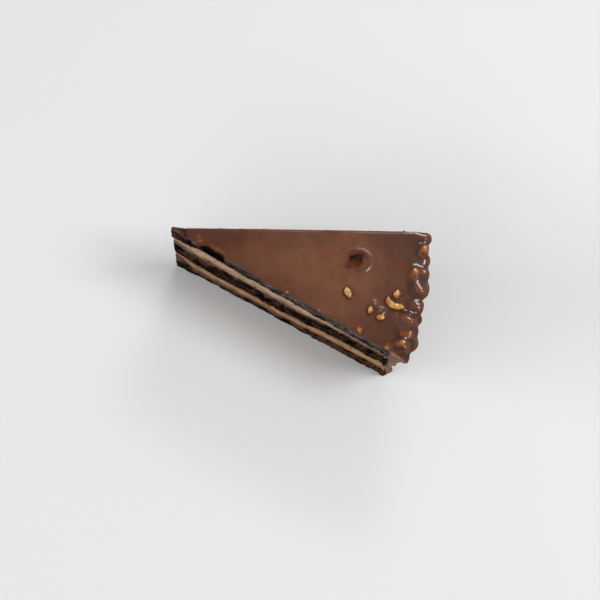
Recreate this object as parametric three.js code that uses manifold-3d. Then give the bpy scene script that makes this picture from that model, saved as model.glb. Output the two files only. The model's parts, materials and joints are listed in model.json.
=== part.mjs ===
// A slice of a round chocolate hazelnut cake. Three dark sponge layers and two hazelnut cream layers
// make the core, a poured chocolate glaze covers its top and its outer wall, and hazelnut pieces sit in
// the glaze. Millimetres, +Z up. The tip points along -X, the glazed wall faces +X, the base is z = 0.

import * as THREE from "three";
import { mergeVertices } from "three/addons/utils/BufferGeometryUtils.js";
import Module from "manifold-3d";

const wasm = await Module();
wasm.setup();

// Driving dimensions: lengths in millimetres, angles in degrees. Places are measured from the upright
// line where the two cuts meet, and the cake's own axis lies a little to one side of that line.
const CAKE_RADIUS = 117.6; // cake axis to the glazed wall under the rim
const CAKE_AXIS = new THREE.Vector2(3.1, -11.9);
const SLICE_ANGLE = 29.2; // between the two cuts, at the top
const KNIFE_LEAN = 1.4; // the -Y cut turns in by this angle down to the base
const TIP_HEIGHT = 71; // base to the top of the glaze at the cake axis
const RIM_DROP = 3.5; // the top is this much lower at the rim
const TIP_RADIUS = 1.6; // the tip is blunted this far from where the cuts meet
const CORE_RADIUS = 108.3; // cake axis to the outer wall of the sponge and cream, at the top
const CORE_FOOT_RADIUS = 107.3; // and at the base
const GLAZE_THICKNESS = 2.8; // on the top
const GLAZE_FOOT_RADIUS = 109.8; // the glazed wall leans in towards the base
const WALL_BOW = 1.8; // 1 for a straight wall, more for one that flares out towards the rim
const WALL_STEPS = 4;
const GLAZE_SHOULDER = 4.5; // reach of the rim's rounding
const GAP = 0.3; // clearance between neighbouring pieces

// Layers from the base up. The knife drags the tip and the cream runs out near the rim, so each
// thickness is given at the tip, along the body and near the rim. The three sums are alike.
const LAYERS = [
  { name: "sponge_base", food: "sponge", tip: 18, body: 8, rim: 10 },
  { name: "cream_lower", food: "cream", tip: 9, body: 14.5, rim: 17 },
  { name: "sponge_middle", food: "sponge", tip: 16, body: 19.5, rim: 21 },
  { name: "cream_upper", food: "cream", tip: 11, body: 16, rim: 7.5 },
  { name: "sponge_top", food: "sponge", tip: 14, body: 10, rim: 10.5 },
];
const TIP_BLEND = [0.03, 0.1]; // shares of the length over which the tip's thicknesses give way
const RIM_BLEND = [0.6, 0.78]; // and over which the rim's thicknesses take over
const WAVE_HEIGHT = 0.7; // unevenness of the spread layers
const WAVE_LENGTH = 26;
const WAVE_SHIFT = 2.1; // turn of the waves from one surface to the next, in radians
const WAVE_TWIST = 6; // how fast they change across the slice
const RADIAL_STEPS = 36;
const ARC_STEPS = 4;
const HEIGHT_STEPS = 3;

// How far a cut face stands out of the knife's plane, and how much that varies from crumb to crumb.
// It fades out towards the thin tip.
const CUT_RELIEF = {
  sponge: { stand: -0.15, vary: 0.3 },
  cream: { stand: 0.05, vary: 0.15 },
};
const RELIEF_FADE = 8;

// The knife tore a piece out of the top sponge's -Y face: its middle, half its length and its depth.
const TORN = { layer: "sponge_top", radius: 22.5, reach: 8, depth: 2.4 };

// The glaze is pulled away from the tip along a ragged line, given by radii from the -Y cut to the
// +Y cut, and the torn place takes a bite out of its -Y edge: pairs of radius and depth.
const GLAZE_START = [12, 9, 7.5, 8];
const GLAZE_BITE = [[31, 0], [27.5, 2.4], [23.5, 1.9], [19.5, 2.7], [16.5, 1.3], [14.5, 0.6]];
const BARE_TIP = [4, 7]; // radii between which the sponge of the bare tip sinks to its place under the glaze

// Hazelnuts that show their own colour: place on the top as angle and radius, size along, across and
// up, turn about the vertical, depth sunk into the glaze, degrees of curl, and rounding of the edges
// from 0 for a block to 1 for a ball.
const HAZELNUTS = [
  { name: "hazelnut_half", angle: 5.3, radius: 87.6, size: [8.6, 7.6, 8.6], turn: 20, sunk: 1.9 },
  { name: "hazelnut_chip_1", angle: -5.2, radius: 87.1, size: [4.4, 3.6, 4], turn: -20, sunk: 1.7 },
  { name: "hazelnut_chip_2", angle: -7.4, radius: 99.5, size: [3.1, 2.8, 3.6], turn: -50, sunk: 1.6 },
  { name: "hazelnut_chip_3", angle: -8.2, radius: 104.9, size: [3.6, 2.4, 3.1], turn: 10, sunk: 1.5 },
  { name: "hazelnut_chip_4", angle: -4.3, radius: 108.3, size: [9.8, 2.9, 3.8], turn: 173, sunk: 1.6,
    curl: 100 },
  { name: "hazelnut_chip_5", angle: -1.2, radius: 108.4, size: [3.8, 3.1, 3.7], turn: 59, sunk: 1.6 },
  { name: "hazelnut_rim_1", angle: 10.2, radius: 117.1, size: [3.2, 5, 4.8], turn: 0, sunk: 3.2, ease: 0.7 },
  { name: "hazelnut_rim_2", angle: 4.7, radius: 114.5, size: [3.4, 4.4, 4.6], turn: -15, sunk: 2.9,
    ease: 0.7 },
  { name: "hazelnut_rim_3", angle: -9.3, radius: 119, size: [5.4, 3, 5], turn: 15, sunk: 4, ease: 0.7 },
  { name: "hazelnut_rim_4", angle: -12.4, radius: 118.7, size: [7, 5.4, 7.4], turn: 40, sunk: 5,
    ease: 0.6 },
];
const DOMED_NUT = "hazelnut_half";
const HALF_NUT_BASE = 0.18; // its flat side lies this share of its height below its middle
const HALF_NUT_ROUGHNESS = 0.02; // shares of the width, here and for the chips
const CHIP_ROUGHNESS = 0.06;
const CHIP_EASE = 0.58;
const CHIP_SKEW = 0.32; // lean and taper of the chopped sides

// Nuts hidden under the glaze of the rim and the top: place, width, and depth of their middle. The
// last one is the mound out of which the half nut looks.
const TOP_LUMPS = [
  { angle: 13.2, radius: 116.2, width: 8, below: 3.4 },
  { angle: 8, radius: 116.8, width: 8, below: 3.2 },
  { angle: 5, radius: 117.2, width: 7.5, below: 2.6 },
  { angle: 1.7, radius: 117.8, width: 9, below: 1.7 },
  { angle: -0.3, radius: 115.2, width: 5.6, below: 1.7 },
  { angle: -3.1, radius: 117.6, width: 8.6, below: 1.9 },
  { angle: -6.9, radius: 116.6, width: 11.4, below: 2.5 },
  { angle: -7.6, radius: 120, width: 6.5, below: 4.2 },
  { angle: -10.4, radius: 121.4, width: 8, below: 4 },
  { angle: -13.7, radius: 120.2, width: 8.6, below: 8 },
  { angle: -13.6, radius: 114.2, width: 3.8, below: 0.8 },
  { angle: -5.4, radius: 99.5, width: 3.4, below: 0.8 },
  { angle: -6.6, radius: 103.4, width: 3.4, below: 0.4 },
  { angle: -0.2, radius: 100.2, width: 6, below: 2.6 },
  { angle: 4.4, radius: 87.3, width: 12.6, below: 2.2 },
];
const LUMP_UNEVEN = 0.12; // share by which a lump's length, breadth and height vary
const LUMP_HEIGHT = 0.92; // against its width

// Chopped nuts under the glaze of the outer wall: rows upwards, pieces in a row, and their widths.
const WALL_ROWS = 6;
const WALL_NUTS = 7;
const WALL_HEIGHT = [3, 58];
const WALL_WIDTH = [4.5, 9];
const WALL_FOOT_WIDTH = 0.6; // share of these widths at the base
const WALL_SINK = 0.16; // share of a piece's width that its middle lies inside the wall
const WALL_STRAY = 0.3; // share of a step by which a piece lies off its row and column
const WALL_ROUGHNESS = 0.14;

// Looks
const SPONGE = new THREE.MeshStandardMaterial({ color: 0x2a1a14, roughness: 0.95, metalness: 0 });
const CREAM = new THREE.MeshStandardMaterial({ color: 0xb08d6c, roughness: 0.6, metalness: 0 });
const GLAZE = new THREE.MeshStandardMaterial({ color: 0x6e4735, roughness: 0.25, metalness: 0 });
const NUT = new THREE.MeshStandardMaterial({ color: 0xc08a48, roughness: 0.45, metalness: 0 });
const LAYER_LOOKS = { sponge: SPONGE, cream: CREAM };

const { smoothstep, degToRad, lerp } = THREE.MathUtils;
const HALF_ANGLE = degToRad(SLICE_ANGLE / 2);
const UP = new THREE.Vector3(0, 0, 1);

// A repeatable value from -1 to 1 for three whole numbers.
function gridValue(a, b, c) {
  const wild = Math.sin(a * 127.1 + b * 311.7 + c * 74.7) * 43758.5453;
  return 2 * (wild - Math.floor(wild)) - 1;
}

// A place at an angle, a radius and a height.
function placeAt(angle, radius, height = 0) {
  return new THREE.Vector3(radius * Math.cos(angle), radius * Math.sin(angle), height);
}

// The domed top of the glaze over a place, and of the core under it.
function domeHeight(axisDistance) {
  return TIP_HEIGHT - RIM_DROP * (axisDistance / CAKE_RADIUS) ** 2;
}

const WALL_TOP = domeHeight(CAKE_RADIUS) - GLAZE_SHOULDER;

function glazeTop(angle, radius) {
  const { x, y } = placeAt(angle, radius);
  return domeHeight(CAKE_AXIS.distanceTo({ x, y }));
}

function coreTop(angle, radius) {
  return glazeTop(angle, radius) - GLAZE_THICKNESS * smoothstep(radius, ...BARE_TIP);
}

// How far a circle about the cake axis lies from where the cuts meet, along an angle.
function reachTo(circle, angle) {
  const { x, y } = placeAt(angle, 1);
  const ahead = CAKE_AXIS.dot({ x, y });
  return ahead + Math.sqrt(circle ** 2 - CAKE_AXIS.lengthSq() + ahead ** 2);
}

// Radius of the core and of the glazed wall at a height.
function coreRadius(height) {
  return lerp(CORE_FOOT_RADIUS, CORE_RADIUS, Math.min(1, height / WALL_TOP));
}

function wallRadius(height) {
  return lerp(GLAZE_FOOT_RADIUS, CAKE_RADIUS, (height / WALL_TOP) ** WALL_BOW);
}

// How far the -Y cut has turned in at a height.
function knifeLean(height) {
  return degToRad(KNIFE_LEAN) * (1 - height / TIP_HEIGHT);
}

// Height of the surface under the layer of that index, at a share of the length and an angle.
function layerBoundary(index, along, angle) {
  const radius = lerp(TIP_RADIUS, reachTo(CORE_RADIUS, angle), along);
  const atTip = 1 - smoothstep(along, ...TIP_BLEND);
  const atRim = smoothstep(along, ...RIM_BLEND);
  const thickness = LAYERS.map(
    ({ tip, body, rim }) => body + (tip - body) * atTip + (rim - body) * atRim,
  );
  const sum = (list) => list.reduce((total, value) => total + value, 0);
  const share = sum(thickness.slice(0, index)) / sum(thickness);
  const spread = index > 0 && index < LAYERS.length ? WAVE_HEIGHT * (1 - atTip) : 0;
  const phase = (radius / WAVE_LENGTH) * 2 * Math.PI + WAVE_SHIFT * index;
  return coreTop(angle, radius) * share + spread * Math.sin(phase) * Math.cos(WAVE_TWIST * angle + index);
}

// How far a point of a cut face stands out of the knife's plane.
function cutRelief({ name, food }, radius, across, crumb) {
  const { stand, vary } = CUT_RELIEF[food];
  const torn = name === TORN.layer && across < 0 ? 1 - ((radius - TORN.radius) / TORN.reach) ** 2 : 0;
  return (stand + vary * crumb) * Math.min(1, radius / RELIEF_FADE) - TORN.depth * Math.max(0, torn);
}

// One layer: a finely divided box bent into a wedge between two boundaries, its cut faces rough.
function layerGeometry(layer, index) {
  const geometry = new THREE.BoxGeometry(1, 1, 1, RADIAL_STEPS, ARC_STEPS, HEIGHT_STEPS);
  const position = geometry.attributes.position;
  for (let i = 0; i < position.count; i++) {
    const along = position.getX(i) + 0.5;
    const across = 2 * position.getY(i);
    const up = position.getZ(i) + 0.5;
    const straight = across * HALF_ANGLE;
    const floor = layerBoundary(index, along, straight) + (index > 0 ? GAP : 0);
    const ceiling = layerBoundary(index + 1, along, straight);
    const height = lerp(floor, ceiling, up);
    const angle = straight + Math.max(0, -across) * knifeLean(height);
    const radius = lerp(TIP_RADIUS, reachTo(coreRadius(height), angle), along);
    const [column, row] = [Math.round(along * RADIAL_STEPS), Math.round(up * HEIGHT_STEPS)];
    const crumb = gridValue(column, row, index + 9 * across);
    const onCut = Math.abs(across) > 0.999;
    const relief = onCut ? cutRelief(layer, radius, across, crumb) * across : 0;
    const outwards = placeAt(angle + Math.PI / 2, relief);
    position.setXYZ(i, ...placeAt(angle, radius, height).add(outwards));
  }
  return geometry;
}

// A closed three.js geometry as a solid that can be joined and cut, and back again.
function solidOf(geometry) {
  const bare = geometry.clone();
  bare.deleteAttribute("normal");
  bare.deleteAttribute("uv");
  const merged = mergeVertices(bare, 1e-4);
  return new wasm.Manifold(
    new wasm.Mesh({
      numProp: 3,
      vertProperties: merged.attributes.position.array,
      triVerts: new Uint32Array(merged.index.array),
    }),
  );
}

function geometryOf(solid) {
  const { vertProperties, triVerts } = solid.getMesh();
  const geometry = new THREE.BufferGeometry();
  geometry.setAttribute("position", new THREE.BufferAttribute(vertProperties, 3));
  geometry.setIndex(new THREE.BufferAttribute(triVerts, 1));
  geometry.computeVertexNormals();
  return geometry;
}

// A whole turn about the cake axis of a path of radius and height, from the axis back to the axis.
const TURN_STEPS = 96;
const CURVE_STEPS = 8;

function turned(path) {
  const geometry = new THREE.LatheGeometry(path.getPoints(CURVE_STEPS), TURN_STEPS).rotateX(Math.PI / 2);
  return solidOf(geometry.translate(CAKE_AXIS.x, CAKE_AXIS.y, 0));
}

// The poured body: flaring wall, rounded shoulder and domed top, as one solid without its core.
function pouredBody() {
  const shoulder = CAKE_RADIUS - GLAZE_SHOULDER;
  const rim = domeHeight(CAKE_RADIUS);
  const path = new THREE.Path();
  path.moveTo(0, 0);
  for (let step = 0; step <= WALL_STEPS; step++) {
    const height = (step / WALL_STEPS) * WALL_TOP;
    path.lineTo(wallRadius(height), height);
  }
  path.quadraticCurveTo(CAKE_RADIUS, rim, shoulder, domeHeight(shoulder));
  path.quadraticCurveTo(shoulder / 2, TIP_HEIGHT, 0, TIP_HEIGHT);
  return turned(path);
}

// The room that the layers take, a gap larger than they are.
function coreRoom() {
  const wall = CORE_RADIUS + GAP;
  const foot = CORE_FOOT_RADIUS + GAP;
  const ceiling = (distance) => domeHeight(distance) - GLAZE_THICKNESS + GAP;
  const path = new THREE.Path();
  path.moveTo(0, -1);
  path.lineTo(foot, -1);
  path.lineTo(foot, 0);
  path.lineTo(wall, WALL_TOP);
  path.lineTo(wall, ceiling(wall));
  path.quadraticCurveTo(wall / 2, ceiling(0), 0, ceiling(0));
  return turned(path);
}

// The two knife cuts through the glaze, with its ragged start and the bite out of its edge. The -Y cut
// leans, so it is divided into steps upwards.
const KNIFE_STEPS = 8;

function knifeCuts() {
  const reach = 1.2 * CAKE_RADIUS;
  const depth = 1.2 * TIP_HEIGHT;
  const start = GLAZE_START.map((radius, i) =>
    placeAt(lerp(-HALF_ANGLE, HALF_ANGLE, i / (GLAZE_START.length - 1)), radius),
  );
  const bite = GLAZE_BITE.map(([radius, depth]) =>
    placeAt(-HALF_ANGLE, radius).add(placeAt(Math.PI / 2 - HALF_ANGLE, depth)),
  );
  const outline = [...start, placeAt(HALF_ANGLE, reach), placeAt(-HALF_ANGLE, reach), ...bite];
  const settings = { depth, steps: KNIFE_STEPS, bevelEnabled: false };
  const geometry = new THREE.ExtrudeGeometry(new THREE.Shape(outline), settings);
  const position = geometry.attributes.position;
  for (let i = 0; i < position.count; i++) {
    const corner = new THREE.Vector3().fromBufferAttribute(position, i);
    if (corner.y < 0) corner.applyAxisAngle(UP, knifeLean(corner.z));
    position.setXYZ(i, ...corner);
  }
  return solidOf(geometry);
}

// Pushes each corner of a unit ball in or out, alike where corners meet.
function roughen(geometry, depth, seed) {
  const position = geometry.attributes.position;
  for (let i = 0; i < position.count; i++) {
    const corner = new THREE.Vector3().fromBufferAttribute(position, i);
    const [a, b, c] = corner.toArray().map((value) => Math.round(value * 1000));
    corner.multiplyScalar(1 + depth * gridValue(a, b, c + seed));
    position.setXYZ(i, ...corner);
  }
  return geometry;
}

// A nut under the glaze: a unit ball made to a width, turned and put in its place.
function lump(ball, angle, radius, height, width, seed) {
  const geometry = ball.scale(
    width * (1 + LUMP_UNEVEN * gridValue(seed, 1, 0)),
    width * (1 + LUMP_UNEVEN * gridValue(seed, 2, 0)),
    width * (LUMP_HEIGHT + LUMP_UNEVEN * gridValue(seed, 3, 0)),
  );
  geometry.rotateX(gridValue(seed, 4, 0));
  geometry.rotateZ(angle + gridValue(seed, 5, 0));
  return solidOf(geometry.translate(...placeAt(angle, radius, height)));
}

function topLumps() {
  return TOP_LUMPS.map(({ angle, radius, width, below }, i) => {
    const turn = degToRad(angle);
    const height = glazeTop(turn, radius) - below;
    return lump(new THREE.SphereGeometry(0.5, 9, 6), turn, radius, height, width, i);
  });
}

function wallLumps() {
  const rowHeight = (WALL_HEIGHT[1] - WALL_HEIGHT[0]) / (WALL_ROWS - 1);
  return Array.from({ length: WALL_ROWS * WALL_NUTS }, (_, i) => {
    const [row, column] = [Math.floor(i / WALL_NUTS), i % WALL_NUTS];
    const seed = 100 + i;
    const stagger = row % 2 ? 0.25 : 0.75;
    const share = (column + stagger + WALL_STRAY * gridValue(seed, 6, 0)) / WALL_NUTS;
    const angle = lerp(-HALF_ANGLE, HALF_ANGLE, share);
    const height = WALL_HEIGHT[0] + (row + WALL_STRAY * gridValue(seed, 7, 0)) * rowHeight;
    const chop = lerp(...WALL_WIDTH, 0.5 + 0.5 * gridValue(seed, 8, 0));
    const width = chop * lerp(WALL_FOOT_WIDTH, 1, height / WALL_TOP);
    const ball = roughen(new THREE.IcosahedronGeometry(0.5, 1), WALL_ROUGHNESS, seed);
    const radius = reachTo(wallRadius(height), angle) - WALL_SINK * width;
    return lump(ball, angle, radius, height, width, seed);
  });
}

// A unit block with eased edges and leaning, tapered sides, as a knife leaves a chopped nut.
function choppedBlock(lengthSteps, ease, seed) {
  const geometry = new THREE.BoxGeometry(1, 1, 1, lengthSteps, 3, 3);
  const position = geometry.attributes.position;
  const [lean, taper, wedge] = [1, 2, 3].map((part) => CHIP_SKEW * gridValue(seed, part, 5));
  for (let i = 0; i < position.count; i++) {
    const corner = new THREE.Vector3().fromBufferAttribute(position, i);
    const ball = corner.clone().setLength(0.6);
    const { x, y, z } = corner.lerp(ball, ease);
    position.setXYZ(i, x * (1 + taper * y) + lean * y, y * (1 + wedge * z), z * (1 + wedge * x));
  }
  return geometry;
}

// One hazelnut piece, grown by a margin all round. Chips are chopped blocks, the half nut is domed.
function hazelnutGeometry(nut, index, margin = 0) {
  const { angle, radius, size, turn, sunk, curl = 0, ease = CHIP_EASE } = nut;
  const domed = nut.name === DOMED_NUT;
  const geometry = domed
    ? roughen(new THREE.IcosahedronGeometry(0.5, 3), HALF_NUT_ROUGHNESS, index)
    : roughen(choppedBlock(curl ? 8 : 3, ease, index), CHIP_ROUGHNESS, index);
  const position = geometry.attributes.position;
  const place = degToRad(angle);
  geometry.scale(...size.map((length) => length + 2 * margin));
  if (domed) flattenBelow(position, -HALF_NUT_BASE * size[2] - margin);
  if (curl) curlRound(position, size[0] / degToRad(curl));
  geometry.rotateZ(place + degToRad(turn));
  geometry.computeBoundingBox();
  const seat = glazeTop(place, radius) - sunk - margin - geometry.boundingBox.min.z;
  return geometry.translate(...placeAt(place, radius, seat));
}

// Presses everything below a level up to it, as the flat side of a halved nut.
function flattenBelow(position, level) {
  for (let i = 0; i < position.count; i++) {
    if (position.getZ(i) < level) position.setZ(i, level + 0.05 * (position.getZ(i) - level));
  }
}

// Wraps the length of a sliver round a circle, as the shell of a broken nut.
function curlRound(position, radius) {
  for (let i = 0; i < position.count; i++) {
    const turn = position.getX(i) / radius;
    const reach = radius + position.getY(i);
    position.setXY(i, reach * Math.sin(turn), reach * Math.cos(turn) - radius);
  }
}

function glazeGeometry() {
  const join = (solids) => solids.reduce((whole, solid) => whole.add(solid));
  const poured = join([pouredBody(), ...topLumps(), ...wallLumps()]);
  const aboveBase = solidOf(new THREE.BoxGeometry(600, 600, 300).translate(0, 0, 150));
  const sockets = join(HAZELNUTS.map((nut, i) => solidOf(hazelnutGeometry(nut, i, GAP))));
  const glaze = poured.intersect(knifeCuts()).intersect(aboveBase).subtract(coreRoom()).subtract(sockets);
  const bodies = glaze.decompose();
  return geometryOf(bodies.reduce((largest, body) => (body.volume() > largest.volume() ? body : largest)));
}

function named(name, geometry, material) {
  const mesh = new THREE.Mesh(geometry, material);
  mesh.name = name;
  return mesh;
}

const slice = new THREE.Group();
LAYERS.forEach((layer, i) =>
  slice.add(named(layer.name, layerGeometry(layer, i), LAYER_LOOKS[layer.food])),
);
slice.add(named("glaze", glazeGeometry(), GLAZE));
HAZELNUTS.forEach((nut, i) => slice.add(named(nut.name, hazelnutGeometry(nut, i), NUT)));

// The origin is the middle of the slice's footprint, on its base.
const middle = new THREE.Box3().setFromObject(slice).getCenter(new THREE.Vector3());
slice.position.set(-middle.x, -middle.y, 0);

export default slice;
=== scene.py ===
"""The looks of a slice of chocolate hazelnut cake: crumbly sponge, cream, glaze, nuts and crumbs."""

import json
import math
import random

import bpy
import numpy as np
from mathutils import Matrix, Vector
from mathutils.bvhtree import BVHTree

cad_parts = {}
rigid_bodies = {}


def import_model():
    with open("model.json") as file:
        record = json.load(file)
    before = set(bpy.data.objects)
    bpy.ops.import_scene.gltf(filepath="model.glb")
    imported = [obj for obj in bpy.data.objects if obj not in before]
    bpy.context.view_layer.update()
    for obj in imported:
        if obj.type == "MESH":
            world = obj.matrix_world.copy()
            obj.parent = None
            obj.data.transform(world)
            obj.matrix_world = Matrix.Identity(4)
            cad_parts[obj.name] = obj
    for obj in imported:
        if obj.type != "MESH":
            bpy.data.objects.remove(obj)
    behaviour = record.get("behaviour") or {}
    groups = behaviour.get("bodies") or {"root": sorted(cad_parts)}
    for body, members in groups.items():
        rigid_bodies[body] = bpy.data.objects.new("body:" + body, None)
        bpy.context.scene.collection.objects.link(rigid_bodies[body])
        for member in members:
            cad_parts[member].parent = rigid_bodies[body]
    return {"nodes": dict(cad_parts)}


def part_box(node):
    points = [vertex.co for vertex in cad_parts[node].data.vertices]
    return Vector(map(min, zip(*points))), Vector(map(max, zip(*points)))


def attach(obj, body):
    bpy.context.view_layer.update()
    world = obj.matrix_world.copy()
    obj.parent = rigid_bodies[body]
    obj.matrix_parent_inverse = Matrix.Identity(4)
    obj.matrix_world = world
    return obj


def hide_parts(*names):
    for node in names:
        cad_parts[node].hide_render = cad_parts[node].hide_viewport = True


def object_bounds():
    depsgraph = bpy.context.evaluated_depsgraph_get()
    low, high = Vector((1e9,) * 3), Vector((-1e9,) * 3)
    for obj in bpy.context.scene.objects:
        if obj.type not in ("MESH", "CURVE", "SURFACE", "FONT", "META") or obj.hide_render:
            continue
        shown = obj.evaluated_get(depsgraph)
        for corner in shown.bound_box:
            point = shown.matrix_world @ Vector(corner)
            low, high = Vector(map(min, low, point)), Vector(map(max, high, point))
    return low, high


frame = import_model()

cad_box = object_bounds()
scene = bpy.context.scene
cad_nodes = frame["nodes"]

MM = 0.001

# Sizes of the slice, as in the solids. Places are measured from the line where the two cuts meet.
CAKE_RADIUS = 117.6 * MM
CAKE_AXIS = np.array((3.1, -11.9)) * MM
CORE_RADIUS = 108.3 * MM
CORE_FOOT_RADIUS = 107.3 * MM
TIP_RADIUS = 1.6 * MM
TIP_HEIGHT = 71 * MM
RIM_DROP = 3.5 * MM
WALL_TOP = 63 * MM
HALF_ANGLE = math.radians(14.6)
KNIFE_LEAN = math.radians(1.4)
TIP_BAND = 0.3 * MM  # points this near the end of the top sponge are its tip
KNIFE_STREAK = (12, 12, 1)  # the knife has drawn the creams out level by these factors

# The photograph's view: the camera looks down on the slice from the side of the cut that leans in.
VIEW_AZIMUTH = math.radians(15.1)
VIEW_ELEVATION = math.radians(77.5)
VIEW_DISTANCE = 1400.6 * MM
VIEW_LENS = 180
VIEW_SENSOR = 36
VIEW_AIM = (60 * MM, 0, 35 * MM)
VIEW_OFFSET = (1.93 * MM, -9.95 * MM)

SPONGES = ("sponge_base", "sponge_middle", "sponge_top")
GOLDEN_NUTS = tuple(f"hazelnut_chip_{i}" for i in range(1, 6))
RIM_NUTS = tuple(f"hazelnut_rim_{i}" for i in range(1, 5))
HALF_NUT = "hazelnut_half"
ALL_NUTS = (HALF_NUT, *GOLDEN_NUTS, *RIM_NUTS)


# Places in the slice


def points_of(mesh):
    """The vertices of a mesh as rows of x, y, z."""
    flat = np.empty(len(mesh.vertices) * 3, np.float32)
    mesh.vertices.foreach_get("co", flat)
    return flat.reshape(-1, 3).astype(float)


def normals_of(mesh):
    """The normals of a mesh's vertices as rows of x, y, z."""
    flat = np.empty(len(mesh.vertices) * 3, np.float32)
    mesh.vertices.foreach_get("normal", flat)
    return flat.reshape(-1, 3).astype(float)


def find_cuts_meet():
    """The foot of the line where the two cuts meet, a little beyond the slice's tip."""
    points = points_of(cad_nodes["sponge_top"].data)
    tip = points[points[:, 0] < points[:, 0].min() + TIP_BAND]
    return Vector((tip[:, 0].min() - TIP_RADIUS * math.cos(HALF_ANGLE), tip[:, 1].mean(), 0))


CUTS_MEET = find_cuts_meet()


def polar(points):
    """Radius from where the cuts meet and angle from the slice's middle, for rows of points."""
    x = points[:, 0] - CUTS_MEET.x
    y = points[:, 1] - CUTS_MEET.y
    return np.hypot(x, y), np.arctan2(y, x)


def axis_distance(points):
    """Distance from the axis of the whole cake, for rows of points."""
    return np.hypot(points[:, 0] - CUTS_MEET.x - CAKE_AXIS[0], points[:, 1] - CUTS_MEET.y - CAKE_AXIS[1])


def glaze_top(points):
    """Height of the smooth domed glaze over rows of points."""
    return TIP_HEIGHT - RIM_DROP * (axis_distance(points) / CAKE_RADIUS) ** 2


def above_top(points):
    """Height of each point above the smooth domed glaze."""
    return points[:, 2] - glaze_top(points)


def beyond_core(points):
    """How far each point lies outside the core's outer wall, which leans in towards the base."""
    wall = np.interp(points[:, 2], (0, WALL_TOP), (CORE_FOOT_RADIUS, CORE_RADIUS))
    return axis_distance(points) - wall


def place(angle, radius, height):
    """A point at an angle and a radius from where the cuts meet."""
    return CUTS_MEET + Vector((radius * math.cos(angle), radius * math.sin(angle), height))


def smoothstep(low, high, values):
    """0 below low, 1 above high, with a smooth step between."""
    share = np.clip((values - low) / (high - low), 0, 1)
    return share * share * (3 - 2 * share)


def at_least(least, shares):
    """Shares of 0 to 1, drawn together so that they start at a least share."""
    return least + (1 - least) * shares


def depth_under_cut(points):
    """How far each point lies inside the nearer of the two knife cuts."""
    radius, angle = polar(points)
    lean = KNIFE_LEAN * (1 - points[:, 2] / TIP_HEIGHT)
    near = radius * np.sin(angle + HALF_ANGLE - lean)
    far = radius * np.sin(HALF_ANGLE - angle)
    return np.minimum(near, far)


# Modelling by hand

MERGE_DISTANCE = 0.002 * MM
WEIGHT_STEPS = 20
SMOOTHING_FACTOR = 0.5


def only(piece):
    """Leaves one piece selected and active."""
    bpy.ops.object.select_all(action="DESELECT")
    piece.select_set(True)
    bpy.context.view_layer.objects.active = piece


def copy_of(node, name):
    """A piece of its own from a CAD node, its loose triangles merged."""
    only(cad_nodes[node])
    bpy.ops.object.duplicate()
    piece = bpy.context.object
    bpy.ops.object.parent_clear(type="CLEAR_KEEP_TRANSFORM")
    for key in list(piece.keys()):
        del piece[key]
    piece.name = name
    piece.data.name = name
    piece.data.materials.clear()
    bpy.ops.object.mode_set(mode="EDIT")
    bpy.ops.mesh.select_all(action="SELECT")
    bpy.ops.mesh.remove_doubles(threshold=MERGE_DISTANCE)
    bpy.ops.object.mode_set(mode="OBJECT")
    return piece


def resize(piece, factors, centre):
    """Scales a whole mesh in edit mode about a point."""
    only(piece)
    bpy.ops.object.mode_set(mode="EDIT")
    bpy.ops.mesh.select_all(action="SELECT")
    bpy.ops.transform.resize(value=factors, center_override=centre)
    bpy.ops.object.mode_set(mode="OBJECT")


def apply(piece, kind, **settings):
    """Adds a modifier with its settings and applies it."""
    modifier = piece.modifiers.new(kind, kind)
    for key, value in settings.items():
        setattr(modifier, key, value)
    only(piece)
    bpy.ops.object.modifier_apply(modifier=modifier.name)


def remesh(piece, voxel):
    """Gives a piece an even mesh."""
    apply(piece, "REMESH", mode="VOXEL", voxel_size=voxel)


def grow(piece, depth, group=""):
    """Moves a piece out along its normals, all of it or a vertex group."""
    apply(piece, "DISPLACE", strength=depth, mid_level=0, vertex_group=group)


def soften(piece, rounds, group=""):
    """Smooths a piece, all of it or a vertex group."""
    apply(piece, "SMOOTH", factor=SMOOTHING_FACTOR, iterations=rounds, vertex_group=group)


def weigh(piece, group, weights):
    """Writes a vertex group, in even steps of weight."""
    target = piece.vertex_groups.new(name=group)
    steps = np.round(np.clip(weights, 0, 1) * WEIGHT_STEPS).astype(int)
    for step in range(1, WEIGHT_STEPS + 1):
        found = np.flatnonzero(steps == step)
        if len(found):
            target.add(found.tolist(), step / WEIGHT_STEPS, "REPLACE")


def write_attribute(piece, name, values):
    """Stores a number on each vertex for the material to read."""
    attribute = piece.data.attributes.new(name, "FLOAT", "POINT")
    attribute.data.foreach_set("value", np.asarray(values, np.float32))


def relief(name, kind, size, ramp=None, **settings):
    """A procedural texture for the Displace modifier. A ramp gives where its values start and end."""
    texture = bpy.data.textures.new(name, kind)
    texture.noise_scale = size
    for key, value in settings.items():
        setattr(texture, key, value)
    if ramp:
        texture.use_color_ramp = True
        stops = texture.color_ramp.elements
        for stop, position, value in zip(stops, ramp, (0, 1)):
            stop.position = position
            stop.color = (value, value, value, 1)
    return texture


def stretched_guide(name, stretch):
    """An empty whose scale stretches a texture. It is removed once the relief is applied."""
    guide = bpy.data.objects.new(name, None)
    guide.scale = stretch
    scene.collection.objects.link(guide)
    bpy.context.view_layer.update()
    return guide


def press(piece, texture, depth, group, guide=None, middle=0.5):
    """Pushes a piece in and out along its normals by a texture, within a vertex group."""
    where = {"texture_coords": "LOCAL"}
    if guide:
        where = {"texture_coords": "OBJECT", "texture_coords_object": guide}
    apply(piece, "DISPLACE", texture=texture, strength=depth, mid_level=middle, vertex_group=group, **where)


# Shader maths


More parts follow.
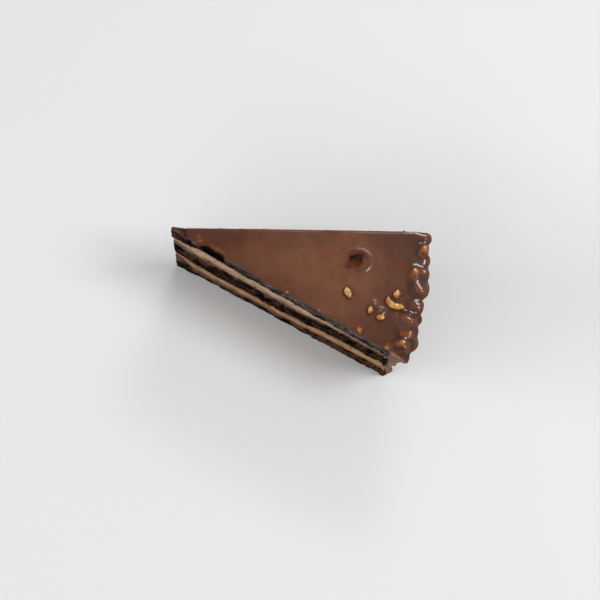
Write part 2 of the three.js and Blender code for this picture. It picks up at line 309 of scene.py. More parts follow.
class Value:
    """A socket of a material. Python's operators on it add Math nodes."""

    def __init__(self, look, socket):
        self.look = look
        self.socket = socket

    def _math(self, operation, first, second):
        return self.look.node("ShaderNodeMath", {"operation": operation}, {0: first, 1: second})

    def __add__(self, other):
        return self._math("ADD", self, other)

    def __radd__(self, other):
        return self._math("ADD", other, self)

    def __sub__(self, other):
        return self._math("SUBTRACT", self, other)

    def __rsub__(self, other):
        return self._math("SUBTRACT", other, self)

    def __mul__(self, other):
        return self._math("MULTIPLY", self, other)

    def __rmul__(self, other):
        return self._math("MULTIPLY", other, self)

    def maximum(self, other):
        return self._math("MAXIMUM", self, other)

    def minimum(self, other):
        return self._math("MINIMUM", self, other)

    def between(self, low, high):
        """0 below low, 1 above high, with a smooth step between."""
        settings = {"interpolation_type": "SMOOTHSTEP", "clamp": True}
        sockets = {"Value": self, "From Min": low, "From Max": high}
        return self.look.node("ShaderNodeMapRange", settings, sockets)


class Look:
    """A material whose nodes are added by expressions."""

    def __init__(self, name):
        self.material = bpy.data.materials.new(name)
        self.material.use_nodes = True
        self.tree = self.material.node_tree
        self.shader = self.tree.nodes["Principled BSDF"]
        self.where = self.node("ShaderNodeTexCoord", {}, {}, "Object")

    def node(self, kind, settings, sockets, output=0):
        """Adds a node: its settings first, then the values or links of its sockets."""
        made = self.tree.nodes.new(kind)
        for key, value in settings.items():
            setattr(made, key, value)
        for key, value in sockets.items():
            self.feed(made.inputs[key], value)
        return Value(self, made.outputs[output])

    def feed(self, socket, value):
        """Links a socket to a Value, or sets it to a plain one."""
        if isinstance(value, Value):
            self.tree.links.new(value.socket, socket)
        else:
            socket.default_value = value

    def noise(self, size, detail=3, roughness=0.5, distortion=0, stretch=(1, 1, 1)):
        """Noise whose features are about a size in metres, drawn out along the axes of the slice."""
        where = self.where
        if stretch != (1, 1, 1):
            scale = tuple(1 / part for part in stretch)
            where = self.node("ShaderNodeMapping", {}, {"Vector": self.where, "Scale": scale})
        sockets = {"Vector": where, "Scale": 1 / size, "Detail": detail, "Roughness": roughness}
        return self.node("ShaderNodeTexNoise", {}, {**sockets, "Distortion": distortion}, "Fac")

    def attribute(self, name):
        """What write_attribute has stored under a name."""
        return self.node("ShaderNodeAttribute", {"attribute_name": name}, {}, "Fac")

    def along(self):
        """Place along the slice in metres, from the tip towards the rim."""
        return self.node("ShaderNodeSeparateXYZ", {}, {"Vector": self.where}, "X")

    def mix(self, share, first, second):
        """A blend of two colours."""
        sockets = {0: share, 6: first, 7: second}
        return self.node("ShaderNodeMix", {"data_type": "RGBA"}, sockets, 2)

    def bump(self, height, depth, below=None):
        """A normal that a height field of 0 to 1 dents by a depth in metres."""
        sockets = {"Height": height, "Distance": depth, "Strength": 1.0}
        if below:
            sockets["Normal"] = below
        return self.node("ShaderNodeBump", {}, sockets)

    def surface(self, **sockets):
        """Sets the shader's own sockets, named with _ for a space."""
        for name, value in sockets.items():
            self.feed(self.shader.inputs[name.replace("_", " ")], value)
        return self.material

    def dull_where(self, share, colour):
        """Blends in a second shader without any gloss, for a broken or cut surface."""
        dull = self.node("ShaderNodeBsdfDiffuse", {}, {"Color": colour})
        glossy = Value(self, self.shader.outputs[0])
        both = self.node("ShaderNodeMixShader", {}, {0: share, 1: glossy, 2: dull})
        self.feed(self.tree.nodes["Material Output"].inputs["Surface"], both)


def srgb(red, green, blue):
    """A screen colour, 0 to 255, as the shader's linear values."""
    def linear(value):
        share = value / 255
        return share / 12.92 if share <= 0.04045 else ((share + 0.055) / 1.055) ** 2.4
    return (linear(red), linear(green), linear(blue), 1)


# Materials

# Stretches along the slice, from its middle, over which a look changes
CREAM_TORN = (-60 * MM, -40 * MM)
CREAM_THINS = (8 * MM, 40 * MM)
# The glaze is painted paler from here on, as a painted sheen, and darker again towards the rim.
GLAZE_PALES = (-68 * MM, 5 * MM)
GLAZE_DARKENS = (25 * MM, 50 * MM)

# Each cream: its material, a pale and a deep colour, and how much crumb is worked into its foot, its
# crest and its rim
CREAM_LOOKS = {
    "cream_lower": ("nut_cream", srgb(205, 159, 117), srgb(145, 103, 69), 0.58, 0.35, 0.1),
    "cream_upper": ("smooth_cream", srgb(208, 171, 140), srgb(154, 118, 92), 0.6, 0.0, 1.1),
}


def sponge_look():
    """Dark open crumb, browner on the raised crumbs and black in the pores, with cream worked into its
    upper edge. The pores' black is partly painted shade, and the crumb is painted darker where the relief
    is pressed in and towards the foot of each layer. The knife has smeared the top layer."""
    look = Look("chocolate_sponge")
    crumb = look.noise(1.6 * MM, detail=4, roughness=0.65)
    grain = look.noise(0.4 * MM, detail=2)
    patches = look.noise(7 * MM, detail=3)
    sunk = look.attribute("sunk")
    smear = look.attribute("smear")
    level = look.attribute("level")
    # painted shade: the crumb is darker where the relief has pressed it in
    raised = (crumb * 1.2 + grain * 0.3 + patches * 1.6 - sunk * 0.5).between(1.6, 2.1)
    bare = look.mix(raised, srgb(5, 2, 2), srgb(92, 61, 46))
    drawn = look.attribute("drawn")
    creamed = (level + drawn + (patches - 0.5) * 0.8 + (crumb - 0.5) * 0.6).between(0.76, 1.2)
    # painted shade: each layer is darker towards its foot
    bare = look.mix((1 - level.between(0.15, 0.6)) * 0.6, bare, srgb(8, 4, 3))
    bare = look.mix(creamed * 0.65, bare, srgb(132, 103, 83))
    # painted sheen: the smear is painted grey, and lighter towards the top of the layer
    smooth = look.mix(patches.between(0.3, 0.7), srgb(62, 53, 51), srgb(114, 101, 99))
    smooth = look.mix(level.between(0.4, 1) * 0.4, smooth, srgb(128, 113, 109))
    colour = look.mix(smear * (raised * 0.6 + 0.4), bare, smooth)
    glazed = look.mix(patches.between(0.35, 0.65), srgb(66, 42, 33), srgb(88, 62, 53))
    colour = look.mix(look.attribute("film") * 0.9, colour, glazed)
    roughness = 0.95 - smear * 0.4
    dents = look.bump(crumb, 0.5 * MM)
    dents = look.bump(grain, 0.2 * MM, dents)
    return look.surface(Base_Color=colour, Roughness=roughness, Normal=dents, Specular_IOR_Level=0.06)


def cream_look(name, pale, deep, foot, crest, rim):
    """Hazelnut cream, drawn out by the knife. Crumb is worked into its foot, its crest and near the rim,
    by the shares given. Painted shade: it is darker where the relief is pressed in, and what lies behind the
    cut faces is painted near black."""
    look = Look(name)
    streaks = look.noise(1.4 * MM, detail=4, roughness=0.6, stretch=KNIFE_STREAK)
    meal = look.noise(0.6 * MM, detail=3)
    patches = look.noise(6 * MM, detail=3)
    sunk = look.attribute("sunk")
    level = look.attribute("level")
    ragged = level + (patches - 0.5) * 0.5 + (meal - 0.5) * 0.3
    # painted shade: darker where the relief is pressed in
    tone = (streaks * 0.6 + patches * 0.4 - sunk * 0.3).between(0.25, 0.7)
    colour = look.mix(tone, deep, pale)
    low = 1 - ragged.between(0.0, foot)
    high = ragged.between(1 - crest, 1.1)
    thin = look.along().between(*CREAM_THINS) * (patches + meal - 0.6).between(0, 0.6) * rim
    tip = 1 - look.along().between(*CREAM_TORN)
    torn = tip * (1 - ragged.between(0.3, 0.8))
    worked = (low.maximum(high).maximum(thin).maximum(torn) * (0.65 + meal * 0.7)).minimum(1.0)
    colour = look.mix(worked * 0.85, colour, srgb(62, 38, 27))
    flecks = (meal + low * 0.12 + high * 0.12 + tip * 0.1).between(0.66, 0.74)
    colour = look.mix(flecks * 0.7, colour, srgb(48, 29, 21))
    # painted shade in the holes, and near black behind the cut faces
    colour = look.mix(sunk.between(0.4, 1.1) * 0.8, colour, srgb(54, 33, 24))
    colour = look.mix(look.attribute("inside"), colour, srgb(18, 10, 8))
    dents = look.bump(streaks, 0.3 * MM)
    dents = look.bump(meal, 0.15 * MM, dents)
    return look.surface(Base_Color=colour, Roughness=0.6 + meal * 0.2, Normal=dents, Specular_IOR_Level=0.12)


def glaze_section(look, fine, blotches):
    """The colour of cut glaze: pale and grainy, with the layers that the knife has dragged over it. Its
    pale greyish tone is partly a painted sheen.
    """
    section = look.mix(fine.between(0.3, 0.7), srgb(106, 80, 69), srgb(186, 147, 124))
    dragged = look.mix(look.attribute("pale"), srgb(90, 74, 68), srgb(172, 136, 109))
    dragged = look.mix(blotches.between(0.4, 0.6) * 0.5, dragged, srgb(116, 98, 92))
    reach = (look.attribute("drag") + (fine - 0.5) * 0.8).between(0.1, 0.7)
    section = look.mix(reach, section, dragged)
    return look.mix(blotches.between(0.45, 0.65) * 0.45, section, srgb(78, 60, 53))


def glaze_look():
    """Set chocolate: satin on the top, wet over the lumps, warm where it is thin, dull where cut. Its
    colour holds a painted sheen along the slice and painted shade in the hollows and round the golden chips.
    """
    look = Look("chocolate_glaze")
    clouds = look.noise(22 * MM, detail=3)
    spots = look.noise(7 * MM, detail=2)
    blotches = look.noise(4 * MM, detail=3, distortion=0.6)
    fine = look.noise(1.4 * MM, detail=3)
    along = look.along()
    cut = look.attribute("cut")
    film = look.attribute("film")
    skin = look.attribute("skin")
    nut = look.attribute("nut")
    proud = look.attribute("proud")
    wall = look.attribute("wall")
    lumpy = proud.maximum(wall)
    # painted sheen: paler in the middle of the slice, darker towards the tip, where the glaze is thin over
    # the dark sponge, and towards the rim
    thickness_and_sheen = along.between(*GLAZE_PALES) - along.between(*GLAZE_DARKENS) * 0.7
    tone = (thickness_and_sheen * 0.75 + clouds * 1.5 + look.attribute("inset") * 0.5 - 1.1).between(0, 1)
    colour = look.mix(tone, srgb(80, 45, 29), srgb(113, 70, 47))
    colour = look.mix(spots.between(0.5, 0.72) * 0.5, colour, srgb(106, 54, 33))
    colour = look.mix(blotches.between(0.45, 0.7) * 0.25, colour, srgb(70, 42, 29))
    colour = look.mix(fine.between(0.45, 0.7) * 0.12, colour, srgb(70, 38, 25))
    colour = look.mix(proud * spots.between(0.3, 0.6) * 0.5, colour, srgb(62, 32, 22))
    # painted shade: the glaze is lighter on the crests and darker in the hollows between lumps
    colour = look.mix(look.attribute("crest") * lumpy * 0.5, colour, srgb(128, 76, 52))
    colour = look.mix(look.attribute("hollow") * lumpy * 0.8, colour, srgb(34, 17, 13))
    thin = (film + (blotches - 0.5) * 0.9 + (fine - 0.5) * 0.5).between(0.3, 1.1)
    colour = look.mix(thin * 0.7, colour, srgb(138, 74, 38))
    # painted shade round the foot of each golden chip
    colour = look.mix(look.attribute("foot").between(0.2, 1.0) * 0.55, colour, srgb(58, 30, 19))
    dark = (skin + (fine - 0.5) * 0.5).between(0.5, 1.05)
    colour = look.mix(dark * 0.9, colour, srgb(76, 28, 10))
    colour = look.mix((nut + (fine - 0.5) * 1.8).between(0.35, 0.75), colour, srgb(166, 106, 50))
    dull = cut.maximum(wall * 0.8).maximum(dark * 0.8)
    look.dull_where(dull, look.mix(cut, colour, glaze_section(look, fine, blotches)))
    ripple = look.bump(look.noise(6 * MM, detail=2), 0.1 * MM)
    return look.surface(
        Base_Color=colour, Roughness=0.34 + fine * 0.1 - proud * 0.1, Normal=ripple, Specular_IOR_Level=0.22,
        Coat_Weight=proud.maximum(look.attribute("wet") * (1 - wall)) * (1 - thin.maximum(dark)),
        Coat_Roughness=0.12,
    )


def golden_nut_look():
    """Chopped toasted kernel: gold flesh, darker towards its foot and brown at its edges and on one side."""
    look = Look("golden_hazelnut")
    flesh = look.noise(1.5 * MM, detail=4, roughness=0.6)
    fine = look.noise(0.4 * MM, detail=2)
    rise = look.attribute("rise")
    edge = look.attribute("edge")
    roast = look.noise(3.2 * MM, detail=2)
    top = (rise + flesh * 1.8 - 1.05 - edge * 0.5).between(0.15, 0.95)
    colour = look.mix(top, srgb(88, 40, 14), srgb(210, 154, 76))
    brown = (look.attribute("roast") + (roast - 0.5) * 1.4).between(0.4, 1.0)
    colour = look.mix(brown * 0.8, colour, srgb(150, 82, 28))
    dents = look.bump(fine, 0.05 * MM)
    return look.surface(
        Base_Color=colour, Roughness=0.28 + fine * 0.2, Normal=dents, Coat_Weight=0.6, Coat_Roughness=0.1
    )


def filmed_nut_look():
    """A kernel that shows through a thin film of glaze: orange towards its top and far side, brown towards
    its near side, partly where the film has run down and thickened and partly as painted shade."""
    look = Look("filmed_hazelnut")
    film = look.noise(2.2 * MM, detail=3, roughness=0.55)
    fine = look.noise(0.8 * MM, detail=2)
    rise = look.attribute("rise")
    edge = look.attribute("edge")
    far = look.attribute("far")
    # painted shade: the kernel is browner towards its near side and its foot
    bare = (rise * 0.5 + far * 1.1 + film * 0.7 - 0.9 - edge * 0.1).between(0.1, 0.8)
    colour = look.mix(bare, srgb(64, 27, 14), srgb(176, 102, 46))
    dents = look.bump(film, 0.08 * MM)
    return look.surface(
        Base_Color=colour, Roughness=0.24 + fine * 0.1, Normal=dents, Coat_Weight=0.4, Coat_Roughness=0.1
    )


def skin_look():
    """The half kernel's dark skin, reddish on its near side where a film of glaze has run over it."""
    look = Look("hazelnut_skin")
    ribs = look.noise(1.6 * MM, detail=4, roughness=0.6)
    far = look.attribute("far")
    bare = (far + ribs * 0.5 - 0.25).between(0.12, 0.42)
    colour = look.mix(bare, srgb(86, 42, 26), srgb(38, 16, 12))
    dents = look.bump(ribs, 0.1 * MM)
    return look.surface(Base_Color=colour, Roughness=0.5, Normal=dents, Specular_IOR_Level=0.08)


def crumb_look():
    """Loose crumb, dark brown and rough."""
    look = Look("cake_crumb")
    tone = look.noise(0.9 * MM, detail=3)
    colour = look.mix(tone.between(0.35, 0.65), srgb(14, 7, 5), srgb(60, 36, 27))
    return look.surface(Base_Color=colour, Roughness=0.9, Normal=look.bump(tone, 0.3 * MM))


# Layers

LAYER_VOXEL = 0.38 * MM
LAYER_SMOOTHING = 2  # rounds
LAYER_GROWTH = 0.15 * MM  # closes the hairline between neighbouring solids
WALL_GROWTH = 0.9 * MM  # and lets the layers run into the coat
WALL_BAND = (-0.8 * MM, -0.2 * MM)  # that growth sets in here, measured from the core's wall
CUT_BAND = (0.8 * MM, 1.8 * MM)  # relief fades out between these depths behind a cut
INSIDE_BAND = (0.15 * MM, 0.5 * MM)  # and the cut face's colour between these; behind them the cream is painted near black as painted shade
BARE_TIP = 9 * MM  # the tip has lost its glaze up to this radius and is rough all round
BARE_TIP_CORE = 0.6  # share of that radius with the full roughness
TIP_ROUGHNESS = 0.2  # against that of a cut face
FOOT_BAND = 1.5 * MM  # relief is weaker this near the base
FOOT_ROUGHNESS = 0.3
LEVEL_STEP = 2 * MM  # a layer's lower and upper surface are found in rings this wide
TORN_DEPTH = 0.5 * MM  # a place this far behind the knife's plane was torn and not cut
TORN_LIMIT = 2 * MM  # and counts as no deeper than this

CRUMB_STAND = 0.6 * MM  # the crumb between the pits stands this far out
BASE_BULGE = 0.65 * MM  # and the base this much more near the rim
BULGE_ZONE = (45 * MM, 85 * MM)  # radii between which that comes up
CREAM_DRAWN = 0.18  # share of the base's height over which the knife has drawn more cream down
DRAWN_ZONE = (50 * MM, 90 * MM)  # radii between which that turns to less cream
# Where the knife has smeared the top sponge, its smear is painted grey as a painted sheen.
SMEAR_ZONE = (26 * MM, 34 * MM)  # the knife has smeared the top sponge from these radii outwards
SMEAR_LEVELS = (0.15, 0.7)  # and more so from these shares of its height upwards
SMEAR_LEAST = 0.15
UPWARD = (0.3, 0.7)  # upward shares of the normal from which a face counts as the tip's top
TIP_SMEAR = 0.5
TIP_FILM_ZONE = (1.4 * MM, 2.6 * MM)  # the tip's film of glaze begins this far behind the near cut

# What the knife and the baking press into the cut faces: name, texture, size, depth, the texture's value
# that stays in place, and settings
SPONGE_RELIEF = (
    ("crags", "CLOUDS", 5 * MM, 0.9 * MM, 0.5, {"noise_depth": 2}),
    ("pits", "VORONOI", 3.6 * MM, 1.1 * MM, 1, {"ramp": (0.05, 0.5)}),
    ("pores", "VORONOI", 1.7 * MM, 0.8 * MM, 0.9, {"ramp": (0.05, 0.6)}),
    ("crumb", "CLOUDS", 1 * MM, 0.7 * MM, 0.5, {"noise_depth": 2, "noise_type": "HARD_NOISE"}),
)
CREAM_RELIEF = (
    ("drag", "CLOUDS", 1.3 * MM, 0.5 * MM, 0.5, {"noise_depth": 2}),
    ("holes", "VORONOI", 4.2 * MM, 0.8 * MM, 1, {"ramp": (0.08, 0.26)}),
    ("swell", "CLOUDS", 5 * MM, 0.6 * MM, 0.5, {"noise_depth": 2}),
)


def dense_layer(node):
    """A layer as a fine even mesh, grown to meet its neighbours, with its cut faces in groups."""
    piece = copy_of(node, node + "_crumb")
    grow(piece, LAYER_GROWTH)
    remesh(piece, LAYER_VOXEL)
    soften(piece, LAYER_SMOOTHING)
    weigh(piece, "wall", smoothstep(*WALL_BAND, beyond_core(points_of(piece.data))))
    grow(piece, WALL_GROWTH, "wall")
    points = points_of(piece.data)
    radius, _ = polar(points)
    at_cut = 1 - smoothstep(*CUT_BAND, depth_under_cut(points))
    at_tip = TIP_ROUGHNESS * (1 - smoothstep(BARE_TIP_CORE * BARE_TIP, BARE_TIP, radius))
    at_foot = smoothstep(0, FOOT_BAND, points[:, 2])
    weigh(piece, "cut", np.maximum(at_cut, at_tip) * at_least(FOOT_ROUGHNESS, at_foot))
    weigh(piece, "face", at_cut)
    weigh(piece, "rim_face", at_cut * smoothstep(*BULGE_ZONE, radius))
    write_attribute(piece, "level", level_in_layer(points))
    write_attribute(piece, "inside", smoothstep(*INSIDE_BAND, depth_under_cut(points)))
    return piece


def level_in_layer(points):
    """Height of each point between its layer's lower and upper surface, from 0 to 1."""
    radius, _ = polar(points)
    steps = (radius / LEVEL_STEP).astype(int)
    low = np.full(steps.max() + 1, np.inf)
    high = np.full(steps.max() + 1, -np.inf)
    np.minimum.at(low, steps, points[:, 2])
    np.maximum.at(high, steps, points[:, 2])
    found = np.isfinite(low)
    middles = (np.flatnonzero(found) + 0.5) * LEVEL_STEP
    lower = np.interp(radius, middles, low[found])
    upper = np.interp(radius, middles, high[found])
    return (points[:, 2] - lower) / (upper - lower)


def press_reliefs(piece, reliefs, guides):
    """Presses a row of reliefs into the cut faces. A guide stretches the relief of its name."""
    for name, kind, size, depth, middle, settings in reliefs:
        press(piece, relief(name, kind, size, **settings), depth, "cut", guides.get(name), middle)


def record_depth(piece, smooth_points, smooth_normals):
    """Stores how deep each point was pressed or lies behind the knife's plane, in millimetres."""
    moved = points_of(piece.data) - smooth_points
    pressed = -np.sum(moved * smooth_normals, axis=1)
    torn = np.clip(depth_under_cut(smooth_points) - TORN_DEPTH, 0, TORN_LIMIT)
    write_attribute(piece, "sunk", (pressed + torn) / MM)


def stand_on_base(piece):
    """Lifts what the relief has pushed under the base back up to it."""
    points = points_of(piece.data)
    points[:, 2] = np.maximum(points[:, 2], 0)
    piece.data.vertices.foreach_set("co", points.astype(np.float32).ravel())
    piece.data.update()


def sponge_layer(node, material):
    """A crumbly layer: pits and pores go in from the knife's plane, and the crumb stands at it."""
    piece = dense_layer(node)
    smooth_points = points_of(piece.data)
    smooth_normals = normals_of(piece.data)
    grow(piece, CRUMB_STAND, "face")
    if node == "sponge_base":
        grow(piece, BASE_BULGE, "rim_face")
    press_reliefs(piece, SPONGE_RELIEF, {})
    record_depth(piece, smooth_points, smooth_normals)
    radius, angle = polar(points_of(piece.data))
    smear = np.zeros(len(radius))
    film = np.zeros(len(radius))
    drawn = np.zeros(len(radius))
    if node == "sponge_base":
        drawn = CREAM_DRAWN * (1 - 2 * smoothstep(*DRAWN_ZONE, radius))
    if node == "sponge_top":
        level = level_in_layer(smooth_points)
        smear = smoothstep(*SMEAR_ZONE, radius) * at_least(SMEAR_LEAST, smoothstep(*SMEAR_LEVELS, level))
        upward = smoothstep(*UPWARD, smooth_normals[:, 2])
        smear = np.maximum(smear, TIP_SMEAR * upward)
        film = upward * smoothstep(*TIP_FILM_ZONE, radius * np.sin(angle + HALF_ANGLE))
    write_attribute(piece, "smear", smear)
    write_attribute(piece, "drawn", drawn)
    write_attribute(piece, "film", film)
    stand_on_base(piece)
    return dress(piece, material, "sponge", node)


def cream_layer(node, material):
    """A layer of cream: the knife has drawn its cut face out in level streaks, with a few small holes."""
    piece = dense_layer(node)
    smooth_points = points_of(piece.data)
    smooth_normals = normals_of(piece.data)
    guide = stretched_guide("knife_drag", KNIFE_STREAK)
    press_reliefs(piece, CREAM_RELIEF, {"drag": guide})
    bpy.data.objects.remove(guide)
    record_depth(piece, smooth_points, smooth_normals)
    return dress(piece, material, "cream", node)


def dress(piece, material, slot, *nodes):
    """Gives a finished piece its material and its body, and hides the CAD nodes that it stands for."""
    only(piece)
    bpy.ops.object.shade_smooth()
    piece.data.materials.clear()
    piece.data.materials.append(material)
    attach(piece, "root")
    if nodes:
        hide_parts(*nodes)
    return piece


# Nuts

NUT_VOXEL = 0.2 * MM
NUT_SMOOTHING = 5  # rounds
NUT_EDGE = 0.1 * MM  # a facet's edge loses this much by that where it is sharpest
CHOP_SIZE = 2.6 * MM
CHIP_UNEVENNESS = 0.5 * MM
KERNEL_UNEVENNESS = 0.2 * MM
FILM_AND_SHADE_RUN = 7 * MM  # from a kernel's far side it turns brown over this length: partly a thicker film of glaze, partly painted shade
NEAR_CORNER_KERNEL = "hazelnut_rim_4"  # the kernel by the near corner: less of it is orange, and the glaze round it has no warm tint
NEAR_CORNER_FILM_AND_SHADE_RUN = 5.5 * MM

# The side of a golden piece that is browner, as a direction in plan
BROWNER_SIDES = {
    "hazelnut_chip_1": (1, -1),
    "hazelnut_chip_2": (1, 0),
    "hazelnut_chip_3": (-1, 1),
    "hazelnut_chip_4": (-1, 0),
    "hazelnut_chip_5": (1, -1),
}


def browner_share(node, points):
    """0 to 1 across a golden piece towards its browner side."""
    if node not in BROWNER_SIDES:
        return np.zeros(len(points))
    reach = points[:, :2] @ np.array(BROWNER_SIDES[node])
    return (reach - reach.min()) / (reach.max() - reach.min())


def nut_piece(node, material, unevenness):
    """A nut with slightly uneven facets. It keeps shares of its height, far side, browner side and edges."""
    piece = copy_of(node, node + "_kernel")
    remesh(piece, NUT_VOXEL)
    sharp_points = points_of(piece.data)
    soften(piece, NUT_SMOOTHING)
    edge = np.sum((sharp_points - points_of(piece.data)) * normals_of(piece.data), axis=1)
    weigh(piece, "all", np.ones(len(edge)))
    press(piece, relief("chop", "CLOUDS", CHOP_SIZE, noise_depth=1), unevenness, "all")
    low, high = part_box(node)
    points = points_of(piece.data)
    write_attribute(piece, "rise", (points[:, 2] - low.z) / (high.z - low.z))
    run = NEAR_CORNER_FILM_AND_SHADE_RUN if node == NEAR_CORNER_KERNEL else FILM_AND_SHADE_RUN
    write_attribute(piece, "far", 1 - (high.y - points[:, 1]) / run)
    write_attribute(piece, "roast", browner_share(node, points))
    write_attribute(piece, "edge", np.clip(edge / NUT_EDGE, 0, 1))
    return dress(piece, material, "hazelnut", node)


# Shape of the glaze

GLAZE_VOXEL = 0.46 * MM
GLAZE_DEPTH = 1.6 * MM  # what lies this far below the smooth top isn't the glaze's upper side
CREASE_RADIUS = 0.8 * MM  # the glaze has run into every crease narrower than this
POURED_BAND = (0.2 * MM, 1.6 * MM)  # it has settled freely from these depths behind a cut
SETTLING = 26  # rounds of smoothing that it takes as it settles over its lumps
LAST_SMOOTHING = 2
SETTLING_LOSS = 0.15 * MM  # what its crests lose by that
COAT_GROWTH = 0.8 * MM  # the coat's hidden inner face reaches this far into the core
CORE_BAND = (0.4 * MM, 0.8 * MM)  # that face lies this near the core's wall
HIDDEN_BAND = (0.3 * MM, 1 * MM)  # and this deep behind a cut
FLOW_SIZE = 16 * MM
FLOW_DEPTH = 0.6 * MM
MOUND_BAND = (0.2 * MM, 1.2 * MM)  # glaze this far above the smooth top is a mound over a nut
MOUND_SIZE = 5 * MM
MOUND_DEPTH = 1.1 * MM
MOUND_SMOOTHING = 16
PLUG_WIDTH = 1.15  # glaze closed up round a nut, against the nut's own width
PLUG_RISE = 0.3 * MM  # how high it climbs up a golden chip
FILM_HEIGHT = 0.97  # share of another nut's height up to which the glaze covers it

# Folds of glaze between lumps at the rim: rows of angles in degrees and radii
FOLDS = (
    ((-6.2, 110.8 * MM), (-6.2, 114.8 * MM), (-6.5, 118.6 * MM)),
    ((3.1, 115 * MM), (1.9, 116 * MM), (0.9, 117.4 * MM), (0.6, 119.4 * MM)),
)
FOLD_HEIGHT = 1.3 * MM
FOLD_WIDTH = 1.4 * MM
FOLD_SURROUND = 2.2  # the glaze is smooth this many widths round a fold
FOLD_BED_SMOOTHING = 24
FOLD_SMOOTHING = 4
FOLD_END = (-3 * MM, -1 * MM)  # a fold runs out between these heights, measured from the smooth top


def rough_coat():
    """The poured glaze with the places of its nuts closed."""
    coat = copy_of("glaze", "poured_glaze")
    plugs = [glaze_plug(nut) for nut in ALL_NUTS]
    only(coat)
    for plug in plugs:
        plug.select_set(True)
    bpy.ops.object.join()
    return coat


def glaze_plug(node):
    """A copy of a nut, wider and lower, that closes the glaze round it."""
    plug = copy_of(node, node + "_plug")
    low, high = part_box(node)
    centre = (low + high) / 2
    climb = FILM_HEIGHT
    if node in GOLDEN_NUTS:
        climb = (glaze_top(np.array([centre]))[0] + PLUG_RISE - low.z) / (high.z - low.z)
    resize(plug, (PLUG_WIDTH, PLUG_WIDTH, climb), (centre.x, centre.y, low.z))
    return plug


def finish_coat(coat, material, golden_nuts, filmed_nuts, half_nut):
    """The glaze in its final shape, with what its material has to know of each place."""
    settle(coat)
    uneven_mounds(coat)
    raise_folds(coat)
    stand_on_base(coat)
    mark_section(coat)
    mark_nuts(coat, golden_nuts, filmed_nuts, half_nut)
    mark_gloss(coat)
    return dress(coat, material, "glaze", "glaze")


def settle(coat):
    """Runs the glaze together over its lumps and up round each nut."""
    remesh(coat, GLAZE_VOXEL)
    grow(coat, CREASE_RADIUS)
    remesh(coat, GLAZE_VOXEL)
    grow(coat, -CREASE_RADIUS)
    points = points_of(coat.data)
    depth = depth_under_cut(points)
    weigh(coat, "poured", smoothstep(*POURED_BAND, depth))
    at_core = 1 - smoothstep(*CORE_BAND, beyond_core(points))
    under_top = points[:, 2] < glaze_top(points) - GLAZE_DEPTH
    weigh(coat, "inside", at_core * smoothstep(*HIDDEN_BAND, depth) * under_top)
    soften(coat, SETTLING, "poured")
    soften(coat, LAST_SMOOTHING)
    grow(coat, SETTLING_LOSS, "poured")
    grow(coat, COAT_GROWTH, "inside")
    press(coat, relief("flow", "CLOUDS", FLOW_SIZE, noise_depth=1), FLOW_DEPTH, "poured")


def uneven_mounds(coat):
    """Makes the mounds over the nuts a little less round."""
    weigh(coat, "mounds", smoothstep(*MOUND_BAND, above_top(points_of(coat.data))))
    press(coat, relief("unevenness", "CLOUDS", MOUND_SIZE, noise_depth=1), MOUND_DEPTH, "mounds")
    soften(coat, MOUND_SMOOTHING, "mounds")


def raise_folds(coat):
    """Smooths the glaze round each fold and raises the fold."""
    weigh(coat, "round_folds", fold_share(points_of(coat.data), FOLD_SURROUND * FOLD_WIDTH))
    soften(coat, FOLD_BED_SMOOTHING, "round_folds")
    weigh(coat, "folds", fold_share(points_of(coat.data), FOLD_WIDTH))
    grow(coat, FOLD_HEIGHT, "folds")
    soften(coat, FOLD_SMOOTHING, "round_folds")


def fold_share(points, width):
    """How close the glaze lies to the crest of a fold of a given width, from 0 to 1."""
    share = np.zeros(len(points))
    plan = points[:, :2]
    for row in FOLDS:
        crest = [np.array(place(math.radians(angle), radius, 0))[:2] for angle, radius in row]
        for start, end in zip(crest, crest[1:]):
            run = end - start
            along = np.clip((plan - start) @ run / (run @ run), 0, 1)
            aside = np.linalg.norm(plan - start - along[:, None] * run, axis=1)
            share = np.maximum(share, np.exp(-0.5 * (aside / width) ** 2))
    return share * smoothstep(*FOLD_END, above_top(points))


# Marks on the glaze

SECTION_BAND = (0.25 * MM, 0.6 * MM)  # the cut section's look fades out between these depths behind it
DRAG_REACH = 3.5 * MM  # the knife has drawn the layers this far out over the section
RIM_CREAMS = ((10 * MM, 27 * MM), (48 * MM, 56 * MM))  # heights of the two creams there
CREAM_EDGE = 1 * MM
INSET_REACH = 14 * MM  # the glaze is darker this near a cut
FILM_REACH = 1.6 * MM  # a nut shows through the glaze this far round, and the painted shade round a golden chip reaches as far

PROUD_ZONE = (106 * MM, 114 * MM)  # the glaze turns from satin to wet this far from the cake's axis
STEEP = (0.45, 0.8)  # upward shares of the normal between which a flank turns into top
WALL_DROP = (0.6 * MM, 3.5 * MM)  # the wall begins this far below the smooth top
WALL_DULLNESS = 0.6
WET_BAND = (-0.1 * MM, 0.5 * MM)  # glaze this far above the smooth top is wet
NEAR_SIDE = 0.3  # share of the normal from which a flank is all on the near or the far side
FAR_WETNESS = 0.15
MOUND_PROUDNESS = 0.2
HOLLOW_ROUNDS = 24  # rounds of averaging that tell hollows from crests
HOLLOW_DEPTH = 0.35 * MM  # the depth of a full hollow

